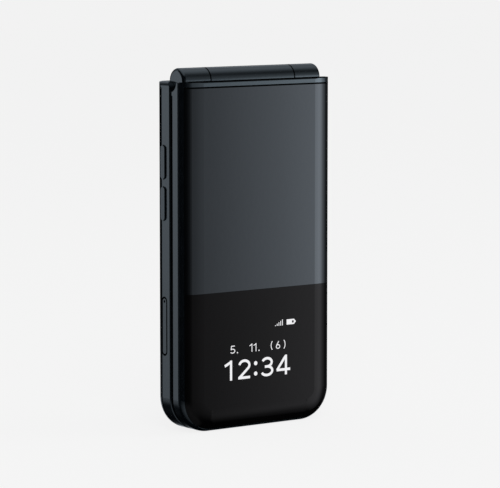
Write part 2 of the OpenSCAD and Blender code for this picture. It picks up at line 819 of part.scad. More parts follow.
module back_cover() {
    color([0.16, 0.175, 0.195]) base_side() difference() {
        union() {
            difference() {
                rounded_block(false);
                translate([-body_w, -OVER, -OVER]) cube([2 * body_w, 2 * housing_h, seam_depth + OVER]);
                plate(cover_side, housing_h - cover_side, seam_depth - OVER, inner_back);
            }
            difference() {
                plate(rim_w + 2 * fit_gap, pocket_top - fit_gap, seam_depth - cover_lip_h, inner_back);
                plate(cover_side + lip_w, pocket_top - lip_w - fit_gap, 0, inner_back);
                // the lip stops for the tray, the side keys and the charging socket
                lip_relief(-half_w, tray_z - tray_len / 2, half_w, tray_len);
                lip_relief(-half_w, vol_z - vol_pitch, half_w, 2 * vol_pitch);
                lip_relief(-usb_w / 2 - fit_gap, 0, usb_w + 2 * fit_gap, usb_len);
            }
        }
        camera_opening(window_r + fit_gap, inner_back - OVER, base_depth + OVER);
        for (i = [0 : slot_count - 1])
            block(slot_w, slot_len, slot_w / 2 - FINE, speaker_x + (i - (slot_count - 1) / 2) * slot_pitch,
                  speaker_z, inner_back - OVER, base_depth + OVER);
    }
}
module lip_relief(x, z, w, h) { translate([x, z, 0]) cube([w, h, seam_depth + 2 * fit_gap]); }

cover_side = 1.7;
lip_w = 0.8;
slot_count = 5;
slot_pitch = 2.2;
slot_w = 1.0;
slot_len = 8;
speaker_side = 7.5;
speaker_x = -half_w + speaker_side + speaker_w / 2;
speaker_z = screw_low + screw_head_r + boss_clear + speaker_h / 2;

camera_x = -half_w + camera_side;
camera_z = housing_h - camera_drop;

// The window over the camera and the flash is a stadium lying along x
module camera_opening(r, from, to) {
    block(flash_gap + 2 * r, 2 * r, r - FINE, camera_x + flash_gap / 2, camera_z, from, to);
}

module camera_window() {
    color([0.03, 0.03, 0.04]) base_side()
        camera_opening(window_r, base_depth - window_t - slack, base_depth - slack);
}

// The camera is a square can with a round barrel; the flash is a small block beside it
camera_can_t = 2.4;
camera_barrel_r = 3;
flash_w = 2.4;
module camera_module() {
    top = base_depth - window_t - 3 * slack;
    shoulder = rear_depth + camera_can_t;
    color([0.12, 0.12, 0.13]) base_side() {
        block(camera_w, camera_w, square_r, camera_x, camera_z, rear_depth + slack, shoulder);
        translate([camera_x, camera_z, shoulder - FINE]) cylinder(r = camera_barrel_r, h = top - shoulder);
        block(flash_w, flash_w, square_r, camera_x + flash_gap, camera_z,
              rear_depth + board_t + 2 * slack, top);
    }
}

// Holes for the keys, each a little wider than its key
module key_openings(gap) {
    for (i = [0 : len(KEY_NODES) - 1]) key_plan(key_place(i), key_w, key_h, gap);
    for (x = key_columns_x) key_plan([x, call_row_z], key_w, call_h, gap);
    for (s = [-1, 1]) key_plan([s * soft_x, nav_z], soft_w, soft_h, gap);
    translate([0, nav_z]) circle(nav_r + gap);
}

function key_place(i) =
    [key_columns_x[i % KEY_COLUMNS], key_low + key_h / 2 + floor(i / KEY_COLUMNS) * (key_h + key_gap_z)];

module key_plan(place, w, h, gap) { translate(place) round_rect(w + 2 * gap, h + 2 * gap, key_r + gap); }

mic_r = 0.5;
mic_z = 10;
module keypad_deck() {
    color([0.11, 0.115, 0.125]) base_side() difference() {
        union() {
            plate(rim_w + fit_gap, pocket_top - fit_gap, 0, panel_t);
            at_screws(BASE_SCREWS) cylinder(r = boss_r - fit_gap, h = mid_depth);
        }
        translate([0, 0, -OVER]) linear_extrude(panel_t + 2 * OVER) key_openings(key_gap);
        translate([0, mic_z, -OVER]) cylinder(r = mic_r, h = panel_t + 2 * OVER);
        at_screws(BASE_SCREWS) translate([0, 0, panel_t]) cylinder(r = screw_r, h = base_depth);
    }
}

pad_rise = 2.5;
pad_low = screw_low + boss_r + pad_rise;
pad_high = board_top - boss_clear;
mat_margin = 1.2;
module pad_block(inset, from, to) {
    w = body_w - 2 * (wall_in + inset);
    block(w, pad_high - pad_low, panel_r, 0, (pad_high + pad_low) / 2, from, to);
}

module keypad_mat() { color([0.3, 0.3, 0.32]) base_side() pad_block(mat_margin, mat_depth, pad_depth); }

module keypad_board() {
    color([0.1, 0.3, 0.2]) base_side() pad_block(2 * mat_margin, pad_depth, pad_depth + board_t);
}

// A key: a crowned cap through the deck and a flange under it
key_bevel = 0.15;
module key_body(place, w, h) {
    low = -key_proud;
    color([0.2, 0.21, 0.225]) base_side() {
        translate([0, 0, low]) linear_extrude(key_bevel + FINE) key_plan(place, w, h, -key_bevel);
        translate([0, 0, low + key_bevel]) linear_extrude(key_foot - flange_t - low - key_bevel + FINE)
            key_plan(place, w, h, 0);
        translate([0, 0, key_foot - flange_t]) linear_extrude(flange_t) key_plan(place, w, h, flange_w);
    }
}

// Ring-shaped keys are trapped by the trim and the mat, so they carry no flange
module round_key(outer, inner, col) {
    low = -key_proud;
    color(col) base_side() translate([0, nav_z, 0]) difference() {
        union() {
            translate([0, 0, low]) cylinder(r = outer - key_bevel, h = key_bevel + FINE);
            translate([0, 0, low + key_bevel]) cylinder(r = outer, h = key_foot - low - key_bevel);
        }
        translate([0, 0, low - OVER]) cylinder(r = inner, h = key_foot + 2 * OVER);
    }
}

trim_w = 0.6;
module nav_ring() { round_key(nav_r, trim_r + 1.5 * fit_gap, [0.2, 0.21, 0.225]); }
module nav_trim() { round_key(trim_r, trim_r - trim_w, [0.55, 0.56, 0.58]); }
module key_ok() {
    color([0.2, 0.21, 0.225]) base_side() translate([0, nav_z, 0]) {
        translate([0, 0, -key_proud]) cylinder(r = ok_r - key_bevel, h = key_bevel + FINE);
        translate([0, 0, key_bevel - key_proud]) cylinder(r = ok_r, h = key_foot + key_proud - key_bevel);
    }
}

battery_gap_z = 1;
battery_z = speaker_z + speaker_h / 2 + fit_gap;
board_low = battery_z + battery_h + battery_gap_z;
module main_board() {
    from = rear_depth + fit_gap;
    low = board_low;
    w = body_w - 2 * (wall_in + side_room - slack);
    color([0.08, 0.28, 0.18]) base_side() difference() {
        block(w, board_top - low, panel_r, 0, (board_top + low) / 2, from, from + board_t);
        block(camera_w + 4 * fit_gap, camera_w + 4 * fit_gap, square_r, camera_x, camera_z, 0, base_depth);
    }
}

can_w = 22;
can_h = 24;
can_t = 1.6;
can_side = 11;
can_rise = 4;
can_x = half_w - can_side - can_w / 2;
can_z = board_low + can_rise + can_h / 2;
module shield_can() {
    from = rear_depth + fit_gap + board_t;
    color([0.68, 0.68, 0.7]) base_side() block(can_w, can_h, square_r, can_x, can_z, from, from + can_t);
}

// The battery fills the space between the card reader and the right wall
battery_left = -half_w + wall_in + slack + tray_reach + battery_gap;
battery_w = half_w - battery_side - battery_left;
battery_x = battery_left + battery_w / 2;
module battery() {
    from = rear_depth + fit_gap;
    color([0.15, 0.16, 0.2]) base_side()
        block(battery_w, battery_h, panel_r, battery_x, battery_z + battery_h / 2, from, from + battery_t);
}

// The socket is a steel shell, a tongue inside it and a closed back
tongue_w = 6.69;
tongue_t = 0.7;
tongue_len = 6.4;
socket_low = 0.3;
socket_back = 0.8;
module charging_socket() {
    color([0.6, 0.6, 0.62]) base_side() {
        difference() {
            socket_shape(usb_w, usb_d, socket_low, usb_len);
            socket_shape(usb_w - 2 * usb_wall, usb_d - 2 * usb_wall, -OVER, usb_len - socket_back);
        }
        translate([-tongue_w / 2, usb_len - tongue_len, usb_depth - tongue_t / 2])
            cube([tongue_w, tongue_len - slack, tongue_t]);
    }
}

module loudspeaker() {
    color([0.2, 0.2, 0.22]) base_side()
        block(speaker_w, speaker_h, panel_r, speaker_x, speaker_z, rear_depth + slack, inner_back - fit_gap);
}

motor_side = 6;
motor_x = half_w - motor_side - motor_r;
motor_sink = 0.4;
motor_z = screw_low + screw_head_r + motor_r - motor_sink;
module vibration_motor() {
    color([0.6, 0.6, 0.62]) base_side()
        translate([motor_x, motor_z, rear_depth + slack]) cylinder(r = motor_r, h = motor_t);
}

module base_screws() {
    color([0.5, 0.5, 0.52]) base_side() at_screws(BASE_SCREWS) {
        translate([0, 0, rear_depth]) cylinder(r = screw_head_r, h = head_h);
        translate([0, 0, panel_t]) cylinder(r = screw_r, h = rear_depth - panel_t + FINE);
    }
}

// ---------------------------------------------------------------- nodes

lid_frame();
cover_panel();
display_window();
sub_display();
lid_inner_cover();
main_display_glass();
main_display();
lid_board();
earpiece();
lid_magnet();
lid_bumpers();
lid_screws();
hinge_cartridge();
hinge_cam();
hinge_spring();
hinge_bush();
hinge_flex_lid();
hinge_shaft();
hinge_pivot();
hinge_caps();
hinge_flex_base();
base_frame();
back_cover();
keypad_deck();
keypad_mat();
keypad_board();
main_board();
shield_can();
battery();
charging_socket();
loudspeaker();
vibration_motor();
camera_module();
camera_window();
card_reader();
side_switches();
base_screws();
card_tray();
nav_ring();
nav_trim();
key_ok();
for (i = [0 : len(KEY_NODES) - 1])
    key_body(key_place(i), key_w, key_h);
for (i = [0 : len(CALL_NODES) - 1])
    key_body([key_columns_x[i], call_row_z], key_w, call_h);
for (i = [0 : len(SOFT_NODES) - 1])
    key_body([(2 * i - 1) * soft_x, nav_z], soft_w, soft_h);
for (i = [0 : len(VOLUME_NODES) - 1])
    volume_key(i);
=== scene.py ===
"""Flip phone, closed and standing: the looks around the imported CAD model. Metres, the CAD's frame."""
import json
import math

import bmesh
import bpy
from mathutils import Matrix, Vector


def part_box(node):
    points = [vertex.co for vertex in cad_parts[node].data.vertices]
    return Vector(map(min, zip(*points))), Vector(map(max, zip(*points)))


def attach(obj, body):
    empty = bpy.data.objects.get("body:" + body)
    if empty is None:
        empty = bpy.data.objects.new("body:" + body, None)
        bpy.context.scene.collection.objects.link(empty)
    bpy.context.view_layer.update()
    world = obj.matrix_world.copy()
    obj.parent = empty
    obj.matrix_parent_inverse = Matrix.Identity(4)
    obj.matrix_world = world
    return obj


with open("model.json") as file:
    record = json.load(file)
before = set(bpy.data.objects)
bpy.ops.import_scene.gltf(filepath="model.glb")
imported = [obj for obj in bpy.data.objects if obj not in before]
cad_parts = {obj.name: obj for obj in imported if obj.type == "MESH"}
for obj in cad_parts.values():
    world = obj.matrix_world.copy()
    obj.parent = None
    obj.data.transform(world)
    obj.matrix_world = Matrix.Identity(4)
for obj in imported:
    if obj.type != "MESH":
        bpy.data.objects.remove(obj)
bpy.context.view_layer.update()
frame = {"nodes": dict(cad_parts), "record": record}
NODES = frame["nodes"]
MM = 0.001

# ---------------------------------------------------------------- sizes, mm
PRINT_T = 0.02        # thickness of printed and lit figures
DOT = 0.80            # radius of a dot in figures, in widths of their lines
LIFT = 0.004          # how far a thin piece stands clear of what it lies on
HALF_WIDE = 30.0      # from the middle to the phone's side
CORNER_R = 11.0       # radius of its lower corners
RIM_R = 0.4           # radius of the top edge of the lid's rim
FRONT_Y = -6.21       # what lies in front of this is the lid's face
NEAR = 0.02           # a point this close to a height is at it
HINGE_Z = 114.5       # the hinge's axis
BARREL_R = 4.3        # radius of the hinge barrel
BARREL_HALF = 27.7    # half the length that its seal covers
KNUCKLE_SEAM = 16.9   # from the middle to the joints between the barrel's knuckles
CAMERA_X = -15.0      # middle of the camera's lens
FLASH_X = -6.5        # middle of its flash
EAR_Z = 103.8         # middle of the earpiece's slot
TONGUE_Y = (3.22, 3.92)         # faces of the charging socket's tongue
TRAY_Y, TRAY_W = 3.7, 2.8       # middle and width of the card tray's face


def corners(node):
    """Lowest and highest corner of a CAD node, in mm."""
    low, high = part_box(node)
    return low / MM, high / MM


LID_FRONT = corners("display_window")[0].y
COVER_TOP = corners("cover_panel")[1].z
LID_INNER = corners("main_display_glass")[1].y


# ---------------------------------------------------------------- camera
def add_camera():
    """A long lens at the front left, slightly above, as the photograph was taken."""
    turn, rise = math.radians(36.0), math.radians(6.38)
    distance, focal_px, frame_px, sensor = 954.55, 2891.43, 500, 36.0
    aim, shift_right, shift_up = Vector((0, 0, 60)), 1.42, -0.05
    back = Vector((-math.sin(turn) * math.cos(rise), -math.cos(turn) * math.cos(rise), math.sin(rise)))
    right = Vector((math.cos(turn), -math.sin(turn), 0))
    up = back.cross(right)
    place = aim + back * distance + right * shift_right + up * shift_up
    data = bpy.data.cameras.new("camera")
    data.sensor_width = sensor
    data.lens = focal_px / frame_px * sensor
    data.clip_start, data.clip_end = 0.05, 20
    cam = bpy.data.objects.new("camera", data)
    bpy.context.scene.collection.objects.link(cam)
    rot = Matrix((right, up, back)).transposed().to_4x4()
    cam.matrix_world = Matrix.Translation(place * MM) @ rot
    bpy.context.scene.camera = cam
    bpy.context.scene.view_settings.view_transform = "Standard"


# ---------------------------------------------------------------- node helpers
NOISE_LOW, NOISE_HIGH = .3, .7
MARK_DEPTH = 0.00002      # of brush marks, in metres
TRACK_DEPTH = 0.00003     # of tracks on a board or a film, in metres


class Nodes:
    """Short calls for building a node tree."""

    def __init__(self, tree):
        self.tree = tree
        tree.nodes.clear()

    def add(self, kind, **sockets):
        """A node: _name sets an attribute, i0 an input by number, Two__Words an input by name."""
        node = self.tree.nodes.new(kind)
        for key, value in sockets.items():
            if key.startswith("_"):
                setattr(node, key[1:], value)
        for key, value in sockets.items():
            if key.startswith("_"):
                continue
            name = key.replace("__", " ")
            numbered = name[0] == "i" and name[1:].isdigit()
            socket = node.inputs[int(name[1:])] if numbered else node.inputs[name]
            if isinstance(value, bpy.types.NodeSocket):
                self.tree.links.new(value, socket)
            else:
                socket.default_value = value
        return node

    def math(self, op, a, b=0.0):
        return self.add("ShaderNodeMath", _operation=op, i0=a, i1=b).outputs[0]

    def ramp(self, fac, stops):
        """Colours along fac, from (place, colour or grey level) stops."""
        node = self.add("ShaderNodeValToRGB", Fac=fac)
        elements = node.color_ramp.elements
        while len(elements) < len(stops):
            elements.new(0.5)
        for element, (at, color) in zip(elements, stops):
            element.position = at
            element.color = color if isinstance(color, tuple) else grey(color)
        return node.outputs["Color"]

    def scaled(self, value, low, high, to_low, to_high):
        node = self.add("ShaderNodeMapRange", Value=value)
        for name, number in (("From Min", low), ("From Max", high), ("To Min", to_low), ("To Max", to_high)):
            node.inputs[name].default_value = number
        return node.outputs[0]

    def spread(self, noise, low, high):
        """Numbers from low to high, over the range that noise mostly keeps to."""
        return self.scaled(noise, NOISE_LOW, NOISE_HIGH, low, high)

    def tones(self, noise, dark, light):
        """Colours from dark to light, over the same range."""
        return self.ramp(noise, [(NOISE_LOW, dark), (NOISE_HIGH, light)])

    def noise(self, scale, detail=2.0, vector=None, rough=0.5):
        """Noise whose grain is about 1/scale metres."""
        where = vector or self.add("ShaderNodeTexCoord").outputs["Object"]
        return self.add("ShaderNodeTexNoise", Vector=where, Scale=scale, Detail=detail,
                        Roughness=rough).outputs[0]

    def stretched(self, x, y, z):
        """Object coordinates scaled by axis, so that noise on them draws out into brush lines."""
        where = self.add("ShaderNodeTexCoord").outputs["Object"]
        return self.add("ShaderNodeMapping", Vector=where, Scale=(x, y, z)).outputs[0]


def grey(v):
    return (v, v, v, 1)


def srgb(*screen):
    """8-bit screen colour to a linear colour."""
    return tuple(c / 255 / 12.92 if c <= 10 else ((c / 255 + 0.055) / 1.055) ** 2.4 for c in screen) + (1,)


# ---------------------------------------------------------------- stage
BACKGROUND = srgb(242, 242, 242)
MIDDLE = (0, 0, 0.06)           # of the phone, in metres

# What the gloss mirrors: brightness by compass degrees (0 in front of the phone, 90 at its right), then by
# height, from -1 straight down to 1 straight up
FRONT_TURN = [(-60, 0), (-35, .01), (-10, .035), (10, .115), (24, .18), (31, .215), (34.6, .225),
              (34.9, .245), (35.6, .235), (36.1, .34), (36.7, .48), (37.2, .525), (37.4, .65), (38.3, .77),
              (42, .88), (45, .96), (48, .90), (50.5, .74), (52, .58), (54, .34), (55.7, .16), (60, .08),
              (70, .05), (100, .02), (120, 0)]
FRONT_RISE = [(-.42, 0), (-.27, .7), (-.16, .95), (-.08, 1), (.06, 1), (.20, .32), (.35, .16), (.55, .055),
              (.7, .03), (.8, 0)]
LEFT_TURN = [(-156, 0), (-150, .12), (-147, .75), (-145.5, 1), (-142, 1), (-139.5, .45), (-135, .06),
             (-112, 0)]
LEFT_RISE = [(-1, 0), (-.45, 0), (-.30, .45), (-.20, .64), (-.12, .86), (-.06, 1), (.1, 1), (.3, .5), (1, .2)]
REAR_TURN = [(70, 0), (110, .8), (150, 1), (178, .7)]
REAR_RISE = [(-.5, 0), (-.36, .5), (-.24, .6), (-.19, 0), (.18, 0), (.40, .38), (.55, .68), (.85, .5),
             (1, .2)]
LOW_TURN = [(-120, 0), (-80, .7), (-20, 1), (12, .8), (26, 0)]
LOW_RISE = [(-1, .5), (-.6, 1), (-.36, .8), (-.22, .15), (-.18, 0)]
BACK_TURN = [(-180, 1), (-165, .7), (-152, 0), (105, 0), (140, .8), (180, 1)]
BACK_RISE = [(-.58, 0), (-.42, .15), (-.34, .8), (-.24, 1), (-.18, .5), (-.14, 0), (.15, 0), (.3, .6),
             (.5, .8), (.8, 0)]
TOP_TURN = [(-180, 1), (180, 1)]
TOP_RISE = [(.62, 0), (.73, .27), (.80, .62), (1, 1)]
SOFT_BOXES = ((FRONT_TURN, FRONT_RISE, 2.0), (LEFT_TURN, LEFT_RISE, 0.58), (REAR_TURN, REAR_RISE, 0.26),
              (LOW_TURN, LOW_RISE, 0.30), (BACK_TURN, BACK_RISE, 0.34), (TOP_TURN, TOP_RISE, 0.5))
MIRROR_TINT = (0.93, 0.98, 1.06, 1)


def box_light(n, turn, height, turn_stops, rise_stops, level):
    """One soft box: a brightness by direction, as a product of two ramps."""
    def by(value, stops, low, high):
        return n.ramp(n.scaled(value, low, high, 0, 1), [((at - low) / (high - low), v) for at, v in stops])
    both = n.math("MULTIPLY", by(turn, turn_stops, -180, 180), by(height, rise_stops, -1, 1))
    return n.math("MULTIPLY", both, level)


def studio_mirror(n):
    """All the soft boxes together, as a brightness by direction."""
    axes = n.add("ShaderNodeSeparateXYZ", Vector=n.add("ShaderNodeTexCoord").outputs["Generated"]).outputs
    front_way = n.math("MULTIPLY", axes[1], -1.0)
    turn = n.math("MULTIPLY", n.math("ARCTAN2", axes[0], front_way), 180 / math.pi)
    total = 0.0
    for turn_stops, rise_stops, level in SOFT_BOXES:
        total = n.math("ADD", total, box_light(n, turn, axes[2], turn_stops, rise_stops, level))
    return total


def add_world():
    """Pale to the camera, an even light on matt surfaces, and the soft boxes to gloss."""
    world = bpy.data.worlds.new("studio")
    bpy.context.scene.world = world
    world.use_nodes = True
    n = Nodes(world.node_tree)
    path = n.add("ShaderNodeLightPath")
    seen = n.math("MAXIMUM", path.outputs["Is Camera Ray"], path.outputs["Is Transmission Ray"])
    pale = n.add("ShaderNodeBackground", Color=BACKGROUND, Strength=1.0)
    soft = n.add("ShaderNodeBackground", Color=grey(1.0), Strength=0.55)
    mirror = n.add("ShaderNodeBackground", Color=MIRROR_TINT, Strength=studio_mirror(n))
    lit = n.add("ShaderNodeMixShader", Fac=path.outputs["Is Glossy Ray"], i1=soft.outputs[0],
                i2=mirror.outputs[0])
    mix = n.add("ShaderNodeMixShader", Fac=seen, i1=lit.outputs[0], i2=pale.outputs[0])
    n.add("ShaderNodeOutputWorld", Surface=mix.outputs[0])


def add_floor():
    """An even pale surface that keeps a share of the shadow that falls on it."""
    mesh = bpy.data.meshes.new("floor")
    r = 3.0
    mesh.from_pydata([(-r, -r, 0), (r, -r, 0), (r, r, 0), (-r, r, 0)], [], [(0, 1, 2, 3)])
    floor = bpy.data.objects.new("floor", mesh)
    bpy.context.scene.collection.objects.link(floor)
    mat = bpy.data.materials.new("floor")
    mat.use_nodes = True
    n = Nodes(mat.node_tree)
    diffuse = n.add("ShaderNodeBsdfDiffuse", Color=grey(0.85))
    glow = n.add("ShaderNodeEmission", Color=BACKGROUND, Strength=1.05)
    mix = n.add("ShaderNodeMixShader", Fac=0.9, i1=diffuse.outputs[0], i2=glow.outputs[0])
    n.add("ShaderNodeOutputMaterial", Surface=mix.outputs[0])
    mesh.materials.append(mat)
    floor.visible_glossy = False


def area_lamp(name, place, size, power):
    """A square or oblong lamp that faces the middle of the phone, and isn't mirrored."""
    data = bpy.data.lights.new(name, "AREA")
    data.shape = "RECTANGLE"
    data.size, data.size_y = size
    data.energy = power
    lamp = bpy.data.objects.new(name, data)
    bpy.context.scene.collection.objects.link(lamp)
    lamp.location = place
    lamp.visible_glossy = False
    lamp.rotation_euler = (Vector(MIDDLE) - Vector(place)).to_track_quat("-Z", "Y").to_euler()


# ---------------------------------------------------------------- materials
def shaded(name, build, **sockets):
    """A Principled material. build(n) returns what its sockets are linked to; sockets are set as they are."""
    mat = bpy.data.materials.new(name)
    mat.use_nodes = True
    n = Nodes(mat.node_tree)
    shader = n.add("ShaderNodeBsdfPrincipled", **build(n), **sockets)
    n.add("ShaderNodeOutputMaterial", Surface=shader.outputs[0])
    return mat


def moulded(dark, light, rough, grain, relief, tone_grain=300):
    """Plastic, paint or rubber: a slow change of tone, a fine change of gloss, and a fine relief."""
    def build(n):
        fine = n.noise(grain, 3.0)
        return {
            "Base__Color": n.tones(n.noise(tone_grain), dark, light),
            "Roughness": n.spread(fine, *rough),
            "Normal": n.add("ShaderNodeBump", Height=fine, Strength=relief, Distance=0.2 / grain).outputs[0],
        }
    return build


def brushed(dark, light, rough, lines, relief):
    """Metal brushed along one axis: lines is the scale of the brush marks by axis."""
    def build(n):
        marks = n.noise(1.0, 4.0, n.stretched(*lines), 0.6)
        return {
            "Base__Color": n.tones(marks, dark, light),
            "Roughness": n.spread(marks, *rough),
            "Normal": n.add("ShaderNodeBump", Height=marks, Strength=relief, Distance=MARK_DEPTH).outputs[0],
        }
    return build


def turned(n):
    """Bright trim with fine rings around the middle of the navigation ring."""
    fine, drawn = 9000.0, 60.0      # scale of the marks across and along the rings
    low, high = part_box("nav_trim")
    middle = (low + high) / 2
    axes = n.add("ShaderNodeSeparateXYZ", Vector=n.add("ShaderNodeTexCoord").outputs["Object"]).outputs
    across = n.math("SUBTRACT", axes[0], middle.x)
    up = n.math("SUBTRACT", axes[2], middle.z)
    radius = n.math("SQRT", n.math("ADD", n.math("MULTIPLY", across, across), n.math("MULTIPLY", up, up)))
    where = n.add("ShaderNodeCombineXYZ", X=n.math("MULTIPLY", radius, fine),
                  Y=n.math("MULTIPLY", across, drawn), Z=n.math("MULTIPLY", up, drawn)).outputs[0]
    rings = n.noise(1.0, 3.0, where)
    return {
        "Base__Color": n.tones(rings, srgb(150, 150, 155), srgb(196, 196, 200)),
        "Roughness": n.spread(rings, .2, .36),
        "Normal": n.add("ShaderNodeBump", Height=rings, Strength=.15, Distance=MARK_DEPTH).outputs[0],
    }


def board(n):
    """Green solder mask over straight tracks, with bare pads here and there."""
    where = n.add("ShaderNodeTexCoord").outputs["Object"]
    cells = n.add("ShaderNodeTexVoronoi", Vector=where, Scale=420.0, Randomness=.55, _distance="CHEBYCHEV")
    tracks = n.add("ShaderNodeTexBrick", Vector=n.stretched(1500, 1500, 1500), Scale=1.0, Mortar__Size=.06)
    tracks.inputs["Color1"].default_value = grey(0)
    tracks.inputs["Color2"].default_value = grey(.35)
    tracks.inputs["Mortar"].default_value = grey(1)
    pads = n.math("MULTIPLY", n.math("LESS_THAN", cells.outputs["Distance"], .12),
                  n.math("GREATER_THAN", n.noise(180), .52))
    mask = n.ramp(tracks.outputs["Color"], [(0, srgb(14, 62, 44)), (1, srgb(34, 104, 74))])
    color = n.add("ShaderNodeMix", _data_type="RGBA", Factor=pads)
    color.inputs[6].default_value = grey(0)
    n.tree.links.new(mask, color.inputs[6])
    color.inputs[7].default_value = srgb(206, 176, 100)
    return {
        "Base__Color": color.outputs[2],
        "Roughness": n.scaled(pads, 0, 1, .42, .25),
        "Metallic": pads,
        "Normal": n.add("ShaderNodeBump", Height=tracks.outputs["Color"], Strength=.2,
                        Distance=TRACK_DEPTH).outputs[0],
    }


def film(n):
    """Amber film over copper tracks that run along it."""
    where = n.stretched(2200, 1, 1)
    lines = n.add("ShaderNodeTexWave", Vector=where, Scale=1.0, Distortion=0.0,
                  _bands_direction="X").outputs["Fac"]
    return {
        "Base__Color": n.ramp(lines, [(.45, srgb(150, 92, 34)), (.55, srgb(196, 132, 60))]),
        "Roughness": n.spread(n.noise(900), .25, .4),
        "Normal": n.add("ShaderNodeBump", Height=lines, Strength=.15, Distance=TRACK_DEPTH).outputs[0],
    }


def pixels(n):
    """A display that is off: a dark field with its fine grid."""
    grid = n.add("ShaderNodeTexChecker", Vector=n.stretched(1, 1, 1), Scale=9000.0)
    grid.inputs["Color1"].default_value = srgb(13, 14, 17)
    grid.inputs["Color2"].default_value = srgb(18, 19, 23)
    return {"Base__Color": grid.outputs[0], "Roughness": n.spread(n.noise(500), .12, .2)}


def make_materials():
    """One material for each slot of the record, and the black that paints shade into fine gaps and seams."""
    paint = moulded((.0012, .0016, .0022, 1), (.0020, .0026, .0034, 1), (.12, .18), 2600, .02)
    cover = moulded((.0004, .0005, .0006, 1), (.0008, .0010, .0012, 1), (.02, .035), 700, .004, 40)
    window = moulded((.0006, .0006, .0006, 1), (.0012, .0011, .0012, 1), (.02, .035), 700, .004, 40)
    deck = moulded(srgb(26, 27, 30), srgb(34, 35, 39), (.42, .55), 6500, .22)
    cap = moulded(srgb(44, 46, 50), srgb(52, 54, 59), (.28, .40), 5000, .10)
    metal = brushed(srgb(160, 160, 165), srgb(206, 206, 210), (.26, .42), (300, 9000, 9000), .2)
    bush = moulded(srgb(190, 186, 170), srgb(210, 206, 192), (.45, .6), 4000, .1)
    soft = moulded(srgb(26, 26, 28), srgb(36, 36, 39), (.75, .92), 4500, .35)
    wrap = brushed(srgb(52, 54, 64), srgb(68, 70, 82), (.3, .5), (90, 300, 900), .4)
    module = moulded(srgb(24, 24, 26), srgb(34, 34, 37), (.45, .6), 5200, .25)
    # painted shade: a black for strips that stand in for the shade of gaps and seams
    shade_black = moulded((.0006, .0007, .0008, 1), (.0012, .0013, .0015, 1), (.6, .8), 4500, .3)
    return {
        "housing": shaded("housing", paint, Specular__IOR__Level=1.0, Specular__Tint=(.80, .95, 1.0, 1),
                          Coat__Weight=1.0, Coat__Roughness=.06, Coat__IOR=1.5,
                          Coat__Tint=(.86, .95, 1.0, 1)),
        "cover_tint": shaded("cover_tint", cover, Specular__IOR__Level=1.0,
                             Specular__Tint=(.88, .95, 1.0, 1)),
        "window_black": shaded("window_black", window, Specular__IOR__Level=0.20,
                               Specular__Tint=(1.0, .93, .90, 1)),
        "inner_panel": shaded("inner_panel", deck),
        "key_cap": shaded("key_cap", cap),
        "trim_metal": shaded("trim_metal", turned, Metallic=1.0),
        "display": shaded("display", pixels),
        "circuit_board": shaded("circuit_board", board),
        "flex_circuit": shaded("flex_circuit", film),
        "steel": shaded("steel", metal, Metallic=1.0),
        "bush_plastic": shaded("bush_plastic", bush),
        "rubber": shaded("rubber", soft, Specular__IOR__Level=0.3),
        "battery_wrap": shaded("battery_wrap", wrap),
        "module_black": shaded("module_black", module),
        # no shine at all, so that this painted shade stays dark at a grazing angle in the fine gaps and seams
        "painted_shade_black": shaded("painted_shade_black", shade_black, Specular__IOR__Level=0.0),
    }


MATERIALS = make_materials()


def dress_nodes():
    """Gives each CAD node the material of its slot in the record."""
    for row in frame["record"]["subparts"]:
        obj = NODES[row["node"]]
        obj.data.materials.clear()
        obj.data.materials.append(MATERIALS[row["material_slot"]])


def printed(name, color, rough=.45, glow=0.0):
    """Ink, or with glow the lit part of a display, faintly uneven as a print is."""
    def build(n):
        r, g, b = color[:3] if not glow else (.03, .03, .03)
        uneven = n.noise(4000)
        return {"Base__Color": n.tones(uneven, (r * .9, g * .9, b * .9, 1), (r, g, b, 1)),
                "Roughness": n.spread(uneven, rough - .05, rough + .05)}
    sockets = {"Emission__Color": color, "Emission__Strength": glow} if glow else {}
    return shaded(name, build, **sockets)


# ---------------------------------------------------------------- pieces
def piece(name, bm, material, body):
    """Makes a piece of a bmesh, in the material and on the body."""
    mesh = bpy.data.meshes.new(name)
    bm.to_mesh(mesh)
    bm.free()
    mesh.materials.append(material)
    obj = bpy.data.objects.new(name, mesh)
    bpy.context.scene.collection.objects.link(obj)
    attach(obj, body)


def arc(cx, cy, rx, ry, start, end, steps=22):
    """Points of an elliptic arc, in degrees from +x, anticlockwise positive."""
    turns = [math.radians(start + (end - start) * i / steps) for i in range(steps + 1)]
    return [(cx + rx * math.cos(t), cy + ry * math.sin(t)) for t in turns]


def turn_at(points, i):
    """How far a line of points turns at its point i, in degrees."""
    if i in (0, len(points) - 1):
        return 0.0
    into = Vector(points[i]) - Vector(points[i - 1])
    out = Vector(points[i + 1]) - Vector(points[i])
    return math.degrees(into.angle(out, 0.0))


